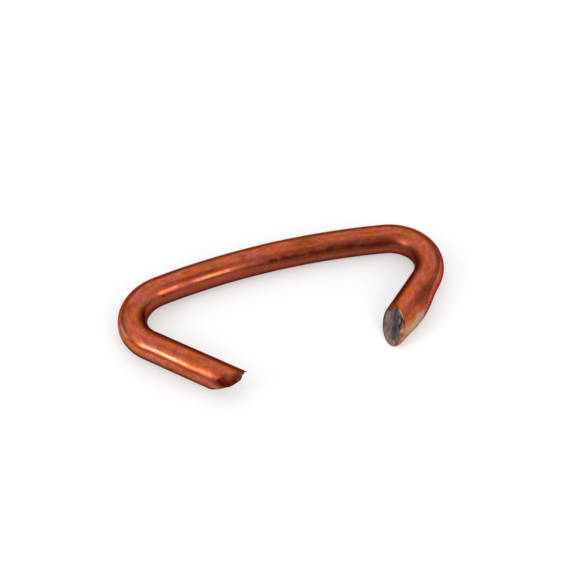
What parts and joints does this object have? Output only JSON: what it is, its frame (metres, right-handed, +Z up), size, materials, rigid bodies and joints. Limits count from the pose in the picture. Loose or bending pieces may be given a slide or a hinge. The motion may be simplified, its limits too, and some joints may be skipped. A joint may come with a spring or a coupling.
{
  "type": "hog ring",
  "caption": "Open C-shaped fastener of round copper-plated steel wire with a bowed back, bent corners and obliquely sheared legs, squeezed shut round wire, mesh or cloth.",
  "frame": {"origin": "middle of the ring's outline, on the surface that it lies on", "axes": "+X along the bowed back, to the right leg; +Y from the legs to the back; +Z up, square to the ring's plane"},
  "size_m": [0.0278, 0.015, 0.0025],
  "materials": {
    "copper_plated_steel": "drawn wire with a thin copper plating, bare grey steel on the sheared ends"
  },
  "bodies": {
    "root": {"wire_ring": "copper_plated_steel"}
  },
  "joints": []
}
